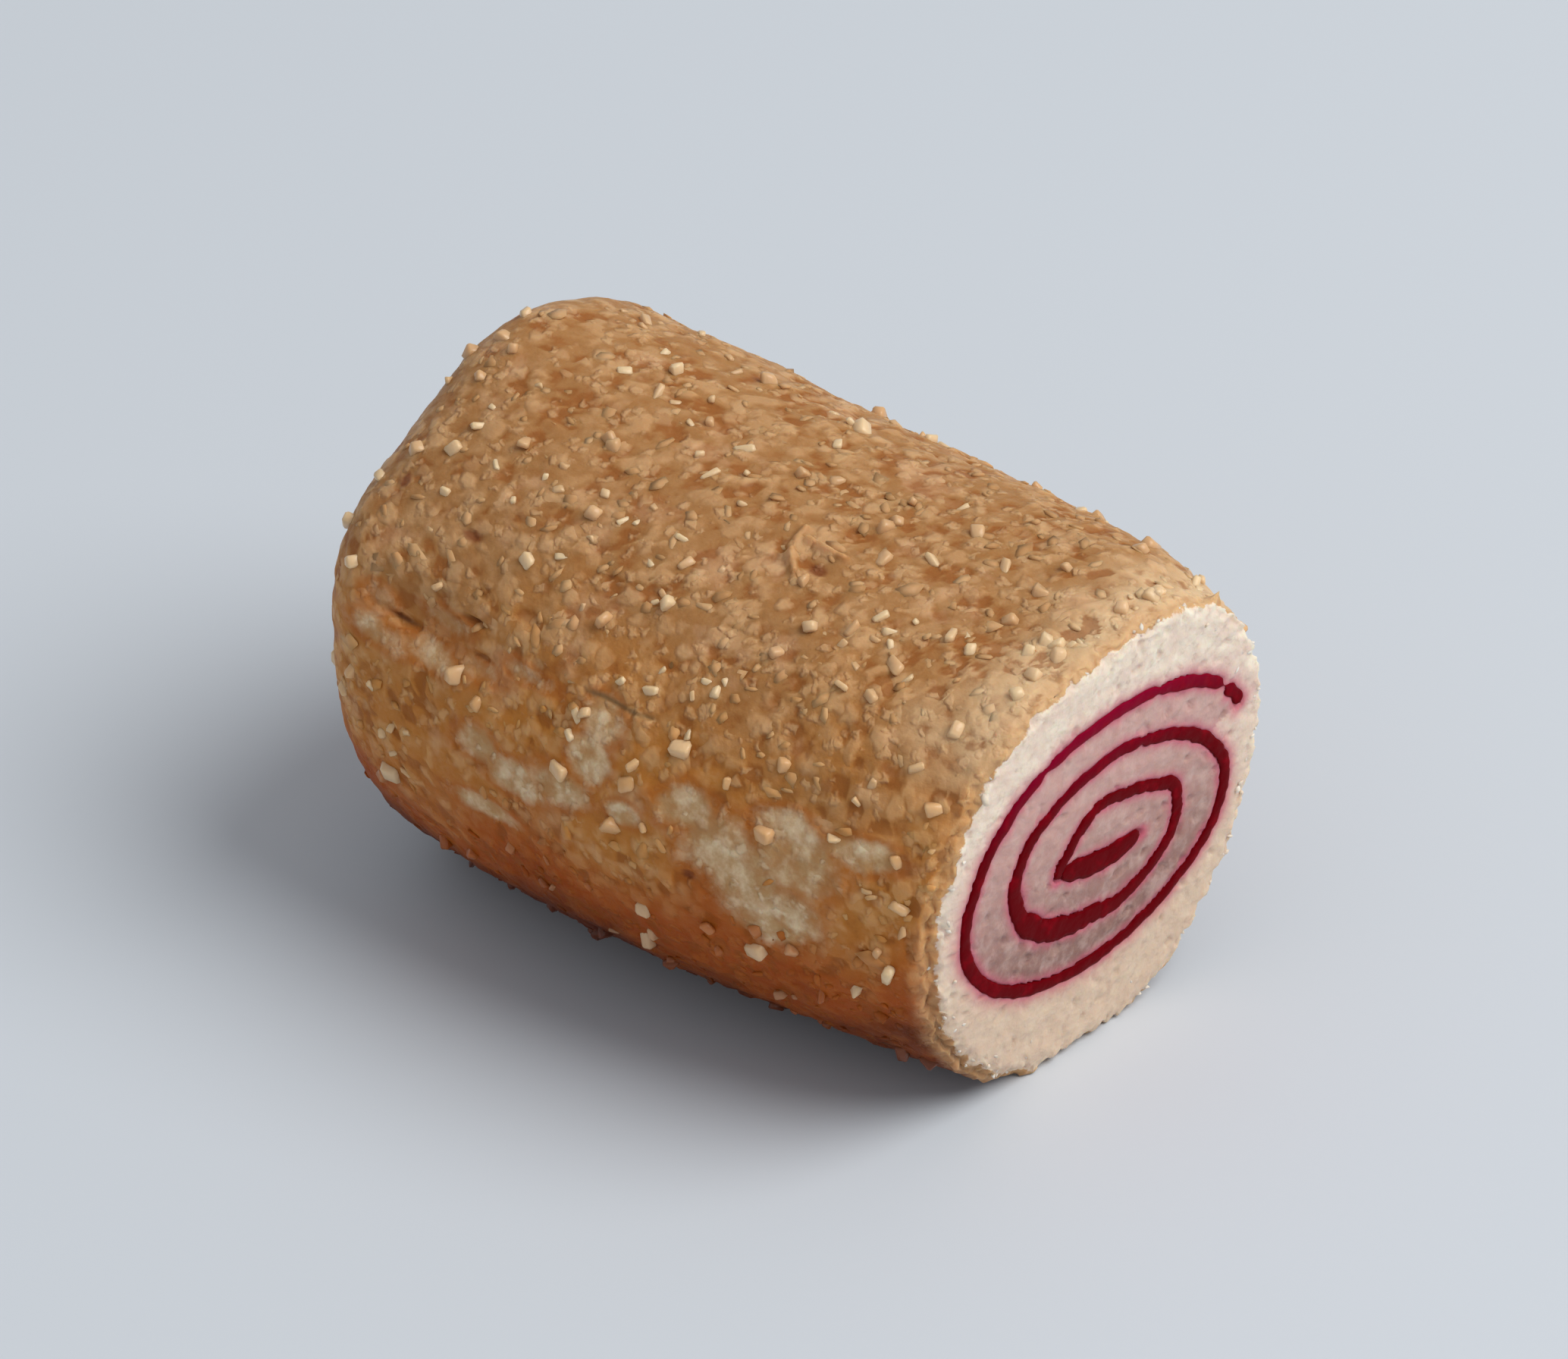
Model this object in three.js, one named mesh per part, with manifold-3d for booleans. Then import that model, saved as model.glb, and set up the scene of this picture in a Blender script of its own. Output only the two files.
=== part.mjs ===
// A miniature swiss roll in modelling clay: a white roll with a browned, sugared skin, cut
// once near one end so that the spiral of red jam shows, and closed at the other end.
// Millimetres, +Z up. +X runs along the roll towards the cut. The origin is on the ground,
// under the middle of the roll.
import * as THREE from 'three';
import { mergeVertices } from 'three/addons/utils/BufferGeometryUtils.js';
import Module from 'manifold-3d';

const wasm = await Module();
wasm.setup();

const TURN = 2 * Math.PI;
const DEGREE = Math.PI / 180;

// ---- Driving dimensions ----

// The roll. Its sizes are given at the cut, half way along and at the closed end.
const ROLL_LENGTH = 16.6; // from the middle of the cut to the tip of the closed end
const CUT_X = 8.0; // where the middle of the cut lies on X
const HALF_WIDTH = { cut: 4.75, middle: 6.15, end: 5.2 };
const HALF_HEIGHT = { cut: 5.6, middle: 5.55, end: 5.95 };
const FLAT_SHARE = 0.054; // how far up the half height the underside is pressed flat
const END_ROUNDING = 2.4; // length over which the closed end rounds off
const END_POWER = 2.5; // 2 is an ellipse, more is squarer

// The cut isn't square to the roll: it leans out at the top and on the +Y side.
const CUT_SLOPE_ACROSS = 0.082; // mm of lean for each mm to the +Y side
const CUT_SLOPE_UP = 0.092; // mm of lean for each mm up

// The knife pressed the top of the roll down. The press fades along the roll.
const PRESS_SHARE = 0.17; // of the radius, at the cut
const PRESS_ANGLE = 93 * DEGREE;
const PRESS_SPREAD = 0.66; // radians round the roll
const PRESS_REACH = 11; // mm along the roll

// Hand-rolled unevenness, and the torn edge of the cut.
const LUMP_SHARE = 0.011; // of the radius
const TEAR_DEPTH = 0.07;

// Where fingers pressed the roll in (height under 0) or pushed it out (over 0): mm behind the
// cut, degrees round the roll, and sizes in mm.
const FINGER_MARKS = [
  { along: 12.6, angle: 154, height: -0.3, halfLength: 1.7, halfWidth: 0.55 }, // a crease
  { along: 15.7, angle: 117, height: -0.36, halfLength: 1.9, halfWidth: 1.9 }, // a flat place
  { along: 14.8, angle: 153, height: 0.34, halfLength: 1.8, halfWidth: 1.3 }, // humps beside it
  { along: 13.8, angle: 76, height: 0.22, halfLength: 2.2, halfWidth: 1.9 },
  { along: 9.0, angle: 60, height: 0.1, halfLength: 4.0, halfWidth: 3.0 },
  { along: 4.0, angle: 50, height: 0.16, halfLength: 2.5, halfWidth: 2.5 }, // behind the cut
  { along: 1.6, angle: 50, height: 0.3, halfLength: 1.5, halfWidth: 2.4 },
  { along: 0.0, angle: -22, height: -0.16, halfLength: 2.0, halfWidth: 2.4 },
];

// The jam is a band wound in a flattened spiral, with a thicker bar at its heart. Its radii
// are measured at the cut, from the spiral's own middle.
const SPIRAL_MIDDLE = { y: 0.2, z: -0.39 }; // from the middle of the section
const SPIRAL_RADIUS = { y: 4.72, z: 3.63 };
const SPIRAL_PITCH = { y: 1.345, z: 1.115 }; // how far the band moves in, each turn
const SPIRAL_START = 30 * DEGREE;
const SPIRAL_END = 2.5 * TURN;
const OUTER_TUCK = { depth: 0.375, reach: 0.45 }; // the outer end curls in
const BAND_HALF = 0.14; // half the band's thickness
const BAND_SWELL = { angle: 590 * DEGREE, spread: 48 * DEGREE, extra: 0.12 };
const HEART_FROM = { y: -1.13, z: -0.3 };
const HEART_TO = { y: 1.1, z: -0.6 };
const HEART_BOW = 0.17; // how far the heart sags in its middle
const HEART_HALF = 0.27;

// The band was laid by hand, so it wanders off a true spiral: at so many degrees, by so many mm.
const BAND_BENDS = [
  [30, -0.03], [60, 0], [90, 0.05], [122, 0.15], [142, 0.08], [160, -0.03], [200, 0],
  [300, -0.06], [330, 0.02], [362, 0], [385, -0.12], [405, -0.14], [425, -0.08], [450, 0.07],
  [480, 0.11], [500, 0.16], [520, 0.05], [545, -0.12], [570, -0.19], [620, -0.18], [640, 0],
  [690, 0], [720, -0.04], [742, 0.04], [765, -0.09], [790, -0.05], [822, 0.15], [842, 0.04],
  [865, -0.06], [900, 0.05],
];
const JAM_GAP = 0.04; // clearance between the jam and the sponge
const JAM_STOP = 1.4; // sponge left over the jam at the closed end

// Sugar grains: the largest that lie on the skin.
const GRAIN_COUNT = 160;
const GRAIN_LARGEST = 0.38;
const GRAIN_SMALLEST = 0.22;
const GRAIN_SINK = 0.08; // how deep a grain's middle lies under the skin, as a share of its size
const GRAIN_KEEP_OFF = { cut: 0.55, ground: 0.7, end: 1.2 }; // mm without grains
const GRAIN_TRIES = 2; // the more places are tried, the more evenly the grains lie
const GRAIN_GATHER = 1.3; // over 1 gathers the grains towards the cut
const GRAIN_SEED = 20261124;
const SHORTEST_EDGE = 0.002; // a grain whose join leaves a shorter edge is left off

// How finely the shapes are divided.
const ROUND_STEPS = 56; // round the roll
const LONG_STEPS = 14; // along the roll
const END_STEPS = 5; // over the closed end
const SPIRAL_STEP = 12 * DEGREE;
const HEART_STEPS = 6;
const JAM_STEPS = 4; // along the jam
const JAM_OVERSHOOT = 1.0; // how far the jam stands out of the cut before it is trimmed to it

// ---- The form of the roll ----

// A value that runs smoothly through its sizes at the cut, the middle and the end.
function alongRoll(sizes, share) {
  const { cut, middle, end } = sizes;
  return cut * (1 - share) * (1 - 2 * share) + middle * 4 * share * (1 - share)
    + end * share * (2 * share - 1);
}

// The roll's section at a distance behind the middle of the cut.
function sectionAt(distance) {
  const share = THREE.MathUtils.clamp(distance / ROLL_LENGTH, -0.2, 1);
  const halfWidth = alongRoll(HALF_WIDTH, share);
  const halfHeight = alongRoll(HALF_HEIGHT, share);
  return { halfWidth, halfHeight, centreZ: halfHeight * (1 - FLAT_SHARE) };
}

// How far the closed end has shrunk the section: 1 along the roll, 0 at the tip.
function endClosing(distance) {
  const into = THREE.MathUtils.clamp((distance - ROLL_LENGTH + END_ROUNDING) / END_ROUNDING, 0, 1);
  return (1 - into ** END_POWER) ** (1 / END_POWER);
}

// How far behind the middle of the cut the cutting plane lies, at a point of the section.
function cutDistance(y, z) {
  return -CUT_SLOPE_ACROSS * y - CUT_SLOPE_UP * (z - sectionAt(0).centreZ);
}

function angleBetween(a, b) {
  return Math.atan2(Math.sin(a - b), Math.cos(a - b));
}

// The press of the knife, the lumps and the finger marks, as a factor on the radius.
function radiusFactor(distance, angle) {
  const behind = Math.max(distance, 0);
  const offPress = angleBetween(angle, PRESS_ANGLE) / PRESS_SPREAD;
  const press = PRESS_SHARE * Math.exp(-offPress * offPress - behind / PRESS_REACH);
  const lumps = LUMP_SHARE * (0.5 * Math.sin(2 * angle + 0.9 + 0.35 * distance)
    + 0.35 * Math.sin(3 * angle + 2.0 - 0.5 * distance)
    + 0.25 * Math.sin(5 * angle + 0.8 * distance));
  const radius = sectionAt(distance).halfWidth;
  const marks = FINGER_MARKS.reduce((sum, mark) => {
    const along = (distance - mark.along) / mark.halfLength;
    const across = radius * angleBetween(angle, mark.angle * DEGREE) / mark.halfWidth;
    return sum + mark.height * Math.exp(-along * along - across * across);
  }, 0);
  return (1 - press) * (1 + lumps) + marks / radius;
}

// A point of the roll: round it by angle, out from its middle by reach (1 is the skin), and
// along it by share (0 is the cut, 1 the tip of the closed end).
function rollPoint(angle, reach, share) {
  let y = 0;
  let z = 0;
  let distance = share * ROLL_LENGTH;
  for (let pass = 0; pass < 4; pass += 1) {
    const { halfWidth, halfHeight, centreZ } = sectionAt(distance);
    const radius = reach * endClosing(distance) * radiusFactor(distance, angle);
    y = halfWidth * radius * Math.cos(angle);
    z = Math.max(centreZ + halfHeight * radius * Math.sin(angle), 0);
    const start = cutDistance(y, z);
    distance = start + (ROLL_LENGTH - start) * share;
  }
  return new THREE.Vector3(CUT_X - distance, y, z);
}

// The torn edge: how much of the radius stays, round the rim of the cut.
function tornRim(angle) {
  const tear = 0.5 * Math.sin(7 * angle + 1.3) + 0.5 * Math.sin(13 * angle + 0.4)
    + 0.4 * Math.sin(19 * angle + 2.2);
  return 1 - TEAR_DEPTH * (0.5 + 0.5 * tear) / HALF_WIDTH.cut;
}

// ---- Solids ----

// Merges a geometry's vertices, drops what has shrunk to nothing and makes it a solid.
function toSolid(geometry) {
  const bare = geometry.clone();
  bare.deleteAttribute('normal');
  bare.deleteAttribute('uv');
  const merged = mergeVertices(bare, 1e-5);
  const index = merged.getIndex().array;
  const corners = [];
  for (let i = 0; i < index.length; i += 3) {
    const [a, b, c] = [index[i], index[i + 1], index[i + 2]];
    if (a !== b && b !== c && c !== a) corners.push(a, b, c);
  }
  const vertProperties = new Float32Array(merged.getAttribute('position').array);
  const mesh = new wasm.Mesh({ numProp: 3, vertProperties, triVerts: new Uint32Array(corners) });
  return new wasm.Manifold(mesh);
}

function toGeometry(solid) {
  const mesh = solid.getMesh();
  const geometry = new THREE.BufferGeometry();
  geometry.setAttribute('position', new THREE.BufferAttribute(mesh.vertProperties, 3));
  geometry.setIndex(new THREE.BufferAttribute(mesh.triVerts, 1));
  geometry.computeVertexNormals();
  return geometry;
}

function moveVertices(geometry, place) {
  const position = geometry.getAttribute('position');
  for (let i = 0; i < position.count; i += 1) {
    const to = place(position.getX(i), position.getY(i), position.getZ(i));
    position.setXYZ(i, to.x, to.y, to.z);
  }
  return geometry;
}

// The whole roll without its jam: a unit lathe, from the tip of the closed end along the skin
// to the middle of the cut, drawn out to the roll's form.
function rollSolid() {
  const profile = [];
  const roundFrom = 1 - END_ROUNDING / ROLL_LENGTH;
  for (let i = END_STEPS; i > 0; i -= 1) {
    const into = Math.sin((i / END_STEPS) * Math.PI / 2);
    profile.push(new THREE.Vector2(i === END_STEPS ? 0 : 1, roundFrom + (1 - roundFrom) * into));
  }
  for (let i = LONG_STEPS; i >= 0; i -= 1) {
    profile.push(new THREE.Vector2(1, roundFrom * i / LONG_STEPS));
  }
  profile.push(new THREE.Vector2(0, 0));
  const lathe = new THREE.LatheGeometry(profile, ROUND_STEPS);
  return toSolid(moveVertices(lathe, (x, share, z) => {
    const reach = Math.hypot(x, z);
    const angle = Math.atan2(x, z);
    return rollPoint(angle, share === 0 ? reach * tornRim(angle) : reach, share);
  }));
}

// ---- The jam ----

// How far the band lies off a true spiral, eased from one bend of the list to the next.
function bandBend(angle) {
  const degrees = angle / DEGREE;
  const found = BAND_BENDS.findIndex(([at]) => at > degrees);
  const next = found > 0 ? found : BAND_BENDS.length - 1;
  const [before, bendBefore] = BAND_BENDS[next - 1];
  const [after, bendAfter] = BAND_BENDS[next];
  const share = THREE.MathUtils.smoothstep(degrees, before, after);
  return THREE.MathUtils.lerp(bendBefore, bendAfter, share);
}

function spiralPoint(angle) {
  const turns = angle / TURN;
  const tuck = OUTER_TUCK.depth * Math.exp(-(angle - SPIRAL_START) / OUTER_TUCK.reach);
  const reachY = SPIRAL_RADIUS.y - SPIRAL_PITCH.y * turns - tuck + bandBend(angle);
  const reachZ = SPIRAL_RADIUS.z - SPIRAL_PITCH.z * turns - tuck + bandBend(angle);
  return new THREE.Vector2(
    SPIRAL_MIDDLE.y + reachY * Math.cos(angle),
    SPIRAL_MIDDLE.z + reachZ * Math.sin(angle),
  );
}

function spiralHalf(angle) {
  const off = (angle - BAND_SWELL.angle) / BAND_SWELL.spread;
  return BAND_HALF + BAND_SWELL.extra * Math.exp(-off * off);
}

// The outline of a band: its centre line, set off to both sides and grown by a margin.
function bandShape(centres, halves, margin) {
  const near = [];
  const far = [];
  const last = centres.length - 1;
  centres.forEach((centre, i) => {
    const before = centres[Math.max(i - 1, 0)];
    const after = centres[Math.min(i + 1, last)];
    const along = after.clone().sub(before).normalize();
    const across = new THREE.Vector2(-along.y, along.x).multiplyScalar(halves[i] + margin);
    const ahead = (i === last ? margin : 0) - (i === 0 ? margin : 0);
    const middle = centre.clone().addScaledVector(along, ahead);
    near.push(middle.clone().sub(across));
    far.unshift(middle.clone().add(across));
  });
  return new THREE.Shape([...near, ...far]);
}

function spiralShape(margin) {
  const steps = Math.round((SPIRAL_END - SPIRAL_START) / SPIRAL_STEP);
  const angles = Array.from({ length: steps + 1 }, (_, i) => (
    SPIRAL_START + (SPIRAL_END - SPIRAL_START) * i / steps));
  return bandShape(angles.map(spiralPoint), angles.map(spiralHalf), margin);
}

function heartPoint(share) {
  const sag = HEART_BOW * Math.sin(Math.PI * share);
  return new THREE.Vector2(
    THREE.MathUtils.lerp(HEART_FROM.y, HEART_TO.y, share),
    THREE.MathUtils.lerp(HEART_FROM.z, HEART_TO.z, share) - sag,
  );
}

function heartShape(margin) {
  const shares = Array.from({ length: HEART_STEPS + 1 }, (_, i) => i / HEART_STEPS);
  const halves = shares.map((share) => HEART_HALF * (1 - 0.5 * (2 * share - 1) ** 4));
  return bandShape(shares.map(heartPoint), halves, margin);
}

// Carries a shape, drawn on the section at the cut, through the roll: from just short of the
// closed end to a little way out of the cut. It narrows and widens with the roll.
function throughRoll(shape, margin) {
  const bar = new THREE.ExtrudeGeometry(shape, {
    depth: JAM_STEPS, steps: JAM_STEPS, bevelEnabled: false,
  });
  const atCut = sectionAt(0);
  const stop = ROLL_LENGTH - JAM_STOP + margin;
  return toSolid(moveVertices(bar, (y, z, step) => {
    const start = cutDistance(y, atCut.centreZ + z);
    const distance = stop + (start - stop) * step / JAM_STEPS;
    const here = sectionAt(distance);
    const atStart = sectionAt(start);
    return new THREE.Vector3(
      CUT_X - distance + (step === JAM_STEPS ? JAM_OVERSHOOT : 0),
      y * here.halfWidth / atStart.halfWidth,
      here.centreZ + z * here.halfHeight / atStart.halfHeight,
    );
  }));
}

function jamSolid(margin) {
  return throughRoll(spiralShape(margin), margin).add(throughRoll(heartShape(margin), margin));
}

// ---- The sugar ----

// A seeded draw of numbers from 0 to 1, the same on each run.
function seededDraw(seed) {
  let state = seed;
  return () => {
    state = (Math.imul(state, 1664525) + 1013904223) >>> 0;
    return state / 2 ** 32;
  };
}

// Of some drawn places on the skin, the one that lies farthest from the grains so far.
function nextGrainPlace(draw, taken) {
  const reach = ROLL_LENGTH - GRAIN_KEEP_OFF.end;
  let best = null;
  let bestRoom = -1;
  for (let tries = 0; tries < GRAIN_TRIES || best === null; tries += 1) {
    const angle = draw() * TURN;
    const share = (GRAIN_KEEP_OFF.cut + draw() ** GRAIN_GATHER * reach) / ROLL_LENGTH;
    const place = rollPoint(angle, 1, share);
    const room = taken.reduce((least, other) => Math.min(least, place.distanceTo(other)), 1e3);
    if (share < 1 && place.z > GRAIN_KEEP_OFF.ground && room > bestRoom) {
      best = { place, middle: rollPoint(angle, 0, share) };
      bestRoom = room;
    }
  }
  return best;
}

// A sugar crystal: an uneven block, turned any way, half sunk in the skin.
function grainSolid(draw, size, place, middle) {
  const grain = new THREE.BoxGeometry(
    size * (0.85 + 0.4 * draw()),
    size * (0.7 + 0.3 * draw()),
    size * (0.6 + 0.3 * draw()),
  );
  const outward = place.clone().sub(middle).normalize();
  const at = place.clone().addScaledVector(outward, -GRAIN_SINK * size);
  grain.rotateX(draw() * TURN).rotateY(draw() * TURN).rotateZ(draw() * TURN);
  return toSolid(grain.translate(at.x, at.y, at.z));
}

function countShortEdges(solid) {
  const { vertProperties: at, triVerts: corners } = solid.getMesh();
  let count = 0;
  for (let i = 0; i < corners.length; i += 1) {
    const a = 3 * corners[i];
    const b = 3 * corners[i % 3 === 2 ? i - 2 : i + 1];
    const length = Math.hypot(at[a] - at[b], at[a + 1] - at[b + 1], at[a + 2] - at[b + 2]);
    if (length < SHORTEST_EDGE) count += 1;
  }
  return count;
}

// Joins the grains on, the largest first.
function withSugar(sponge) {
  const draw = seededDraw(GRAIN_SEED);
  const taken = [];
  let solid = sponge;
  while (taken.length < GRAIN_COUNT) {
    const { place, middle } = nextGrainPlace(draw, taken);
    const size = THREE.MathUtils.lerp(
      GRAIN_LARGEST, GRAIN_SMALLEST, taken.length / GRAIN_COUNT);
    const grain = grainSolid(draw, size, place, middle);
    const joined = solid.add(grain);
    taken.push(place);
    grain.delete();
    if (countShortEdges(joined) > countShortEdges(solid)) {
      joined.delete();
    } else {
      solid.delete();
      solid = joined;
    }
  }
  return solid;
}

// ---- The finished part ----

function namedMesh(name, solid, color, roughness) {
  const material = new THREE.MeshStandardMaterial({ color, roughness, metalness: 0 });
  const mesh = new THREE.Mesh(toGeometry(solid), material);
  mesh.name = name;
  return mesh;
}

const swissRoll = new THREE.Group();
const roll = rollSolid();
const sponge = withSugar(roll.subtract(jamSolid(JAM_GAP)));
const jam = jamSolid(0).intersect(roll);
swissRoll.add(namedMesh('sponge', sponge, '#c98f57', 0.6));
swissRoll.add(namedMesh('jam', jam, '#97091c', 0.35));

export default swissRoll;
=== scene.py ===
# %% [markdown]
# # A miniature swiss roll in modelling clay
#
# The real thing is a dollhouse cake that stands on a fingertip. A sheet of white clay and a
# thinner red one were rolled up together, browned, rolled in fine sugar and sliced at one end,
# so that the spiral shows. The lesson makes the pieces in that order: the roll, its jam, the
# browned skin with its marks, the sugar, and the crumbs that the knife left.

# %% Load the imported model
import math

import bmesh
import bpy
import numpy as np
from mathutils import Euler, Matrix, Vector, kdtree, noise
from mathutils.bvhtree import BVHTree


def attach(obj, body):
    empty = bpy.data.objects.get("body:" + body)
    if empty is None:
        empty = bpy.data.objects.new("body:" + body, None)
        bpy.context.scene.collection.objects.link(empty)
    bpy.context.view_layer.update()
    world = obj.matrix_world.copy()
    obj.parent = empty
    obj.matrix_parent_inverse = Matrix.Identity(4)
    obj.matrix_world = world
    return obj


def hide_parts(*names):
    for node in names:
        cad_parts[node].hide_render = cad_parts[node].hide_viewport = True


noise.seed_set(7)  # without a seed, vector noise differs from run to run
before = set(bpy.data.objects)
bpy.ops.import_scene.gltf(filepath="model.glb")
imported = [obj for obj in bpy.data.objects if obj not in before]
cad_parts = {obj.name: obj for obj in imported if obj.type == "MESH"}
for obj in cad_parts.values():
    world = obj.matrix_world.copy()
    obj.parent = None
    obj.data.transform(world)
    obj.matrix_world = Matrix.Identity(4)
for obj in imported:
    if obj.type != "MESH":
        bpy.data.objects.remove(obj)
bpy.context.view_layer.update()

# %% [markdown]
# ## The form of the roll
#
# A hand-rolled cake isn't a cylinder. It is fullest half way along, rounded at its closed end,
# flat underneath, and pressed down where the knife cut it at a slant. All of that is written as
# sizes and short functions, so that every piece can ask where the roll's surface lies. The jam,
# the sugar and the crumbs couldn't follow a mesh that was pushed about by hand.

# %% Sizes of the roll, in millimetres
MM = 0.001
TURN = 2 * math.pi
ROLL_LENGTH = 16.6
CUT_X = 8.0
HALF_WIDTH = {"cut": 4.75, "middle": 6.15, "end": 5.2}
HALF_HEIGHT = {"cut": 5.6, "middle": 5.55, "end": 5.95}
FLAT_SHARE = 0.054
END_ROUNDING = 2.4
END_POWER = 2.5
CUT_SLOPE_ACROSS = 0.082
CUT_SLOPE_UP = 0.092
PRESS = {"share": 0.17, "angle": math.radians(93), "spread": 0.66, "reach": 11}
LUMP_SHARE = 0.011
LUMP_WAVES = (  # round the roll: how strong, how many, where they start, how they drift along it
    (0.5, 2, 0.9, 0.35), (0.35, 3, 2.0, -0.5), (0.25, 5, 0.0, 0.8))
CARRIED_ON = 0.2  # the sizes run on past the middle of the cut by this share of the length
CUT_PASSES = 4  # each pass lands a point nearer to the leaning cut


def marks(*rows):
    """Marks on the skin, from rows of along, angle, half length, half width and, for some, depth."""
    return [dict(zip(("along", "angle", "half_length", "half_width", "depth"), row)) for row in rows]


FINGER_MARKS = marks(  # pressed in where the depth is over 0, pushed out where it is under 0
    (12.6, 154, 1.7, 0.55, 0.3), (15.7, 117, 1.9, 1.9, 0.36), (14.8, 153, 1.8, 1.3, -0.34),
    (13.8, 76, 2.2, 1.9, -0.22), (9.0, 60, 4.0, 3.0, -0.1), (4.0, 50, 2.5, 2.5, -0.16),
    (1.6, 50, 1.5, 2.4, -0.3), (0.0, -22, 2.0, 2.4, 0.16))


def along_roll(sizes, share):
    """A size that runs smoothly through its values at the cut, the middle and the end."""
    return (sizes["cut"] * (1 - share) * (1 - 2 * share) + sizes["middle"] * 4 * share * (1 - share)
            + sizes["end"] * share * (2 * share - 1))


def section_at(distance):
    """Half width, half height and middle height, at a distance behind the cut."""
    share = min(max(distance / ROLL_LENGTH, -CARRIED_ON), 1)
    half_height = along_roll(HALF_HEIGHT, share)
    return along_roll(HALF_WIDTH, share), half_height, half_height * (1 - FLAT_SHARE)


CUT_MIDDLE_Z = section_at(0)[2]
print("the roll is", 2 * HALF_WIDTH["middle"], "mm wide half way along and cut at X", CUT_X)

# %% Where the surface lies


def rounded(into):
    """The outline of a rounded end: 1 where it starts, falling to 0 at its tip."""
    return (1 - into ** END_POWER) ** (1 / END_POWER)


def end_closing(distance):
    return rounded(min(max((distance - ROLL_LENGTH + END_ROUNDING) / END_ROUNDING, 0), 1))


def cut_distance(y, z):
    """How far behind the middle of the cut the leaning cut lies, at a point of the section."""
    return -CUT_SLOPE_ACROSS * y - CUT_SLOPE_UP * (z - CUT_MIDDLE_Z)


def angle_between(a, b):
    return math.atan2(math.sin(a - b), math.cos(a - b))


def bell(off):
    """1 at 0, fading to 0 on both sides."""
    return math.exp(-off ** 2)


def closeness(mark, angle, along, radius):
    """1 in the middle of a mark on the skin, fading to 0 outside it."""
    across = radius * angle_between(angle, math.radians(mark["angle"])) / mark["half_width"]
    return math.exp(-across ** 2 - ((along - mark["along"]) / mark["half_length"]) ** 2)


def radius_factor(distance, angle):
    """The knife's press, the hand's lumps and the finger marks, as a factor on the radius."""
    off_press = angle_between(angle, PRESS["angle"]) / PRESS["spread"]
    press = PRESS["share"] * math.exp(-off_press ** 2 - max(distance, 0) / PRESS["reach"])
    lumps = LUMP_SHARE * sum(strength * math.sin(count * angle + start + drift * distance)
                             for strength, count, start, drift in LUMP_WAVES)
    radius = section_at(distance)[0]
    pressed = sum(mark["depth"] * closeness(mark, angle, distance, radius) for mark in FINGER_MARKS)
    return (1 - press) * (1 + lumps) - pressed / radius


def roll_point(angle, reach, share):
    """A point of the roll: round it by angle, out by reach (1 is the skin), along it by share."""
    distance = share * ROLL_LENGTH
    for _ in range(CUT_PASSES):
        half_width, half_height, middle_z = section_at(distance)
        radius = reach * end_closing(distance) * radius_factor(distance, angle)
        y = half_width * radius * math.cos(angle)
        z = max(middle_z + half_height * radius * math.sin(angle), 0)
        start = cut_distance(y, z)
        distance = start + (ROLL_LENGTH - start) * share
    return Vector((CUT_X - distance, y, z))


print("the top of the cut lies at", [round(size, 2) for size in roll_point(TURN / 4, 1, 0)])

# %% [markdown]
# ## One divided box for every long piece
#
# The roll and the bands of jam are long things with two ends. A box that is cut into a grid
# has no poles, where faces would bunch up, and stays one closed skin however it is bent. So
# each of them starts as such a box, and a function says where each of its corners goes.

# %% A box cut into a grid
SAME_PLACE = 1e-6
AT_END = 0.9999  # the box's two ends lie at -1 and 1


def divided_box(cuts):
    """A box from -1 to 1 whose edges along X, Y and Z are cut so many times."""
    box = bmesh.new()
    bmesh.ops.create_cube(box, size=2)
    for axis, count in enumerate(cuts):
        along = [edge for edge in box.edges
                 if abs(edge.verts[0].co[axis] - edge.verts[1].co[axis]) > SAME_PLACE]
        bmesh.ops.subdivide_edges(box, edges=along, cuts=count, use_grid_fill=True)
    return box


def square_angle(y, z):
    """The angle round a square, spread evenly along its sides, so that a square becomes a disc."""
    if abs(y) >= abs(z):
        lean = math.pi / 4 * z / abs(y) if y else 0
        return lean if y >= 0 else math.pi - lean
    lean = math.pi / 4 * y / abs(z)
    return math.pi / 2 - lean if z > 0 else lean - math.pi / 2


def in_scene(name, data):
    """Puts a mesh, a lamp or a camera into the scene."""
    piece = bpy.data.objects.new(name, data)
    bpy.context.scene.collection.objects.link(piece)
    return piece


def to_object(name, shape):
    """Makes a mesh, modelled in millimetres, into an object in metres at the origin."""
    bmesh.ops.scale(shape, vec=(MM, MM, MM), verts=shape.verts)
    bmesh.ops.recalc_face_normals(shape, faces=shape.faces)
    for face in shape.faces:
        face.smooth = True
    mesh = bpy.data.meshes.new(name)
    shape.to_mesh(mesh)
    shape.free()
    print(name, "has", sum(len(face.vertices) - 2 for face in mesh.polygons), "triangles")
    return in_scene(name, mesh)


# %% [markdown]
# ## The roll itself
#
# The box's +X side becomes the cut, its -X side the middle of the closed end, and its four
# long sides the skin. The cut shows the finest detail, so its grid is divided once more, and
# the rows along the roll lie closest near it.

# %% Bend the box into the roll
BODY_CUTS = (165, 83, 83)
CAP_REACH = 0.8  # how much of the closed end is made from the box's end
CAP_SHARE = 1 - END_ROUNDING * (1 - rounded(CAP_REACH)) / ROLL_LENGTH
ROW_EVENNESS = 0.6  # 1 spaces the rows evenly, less draws them towards the cut


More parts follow.
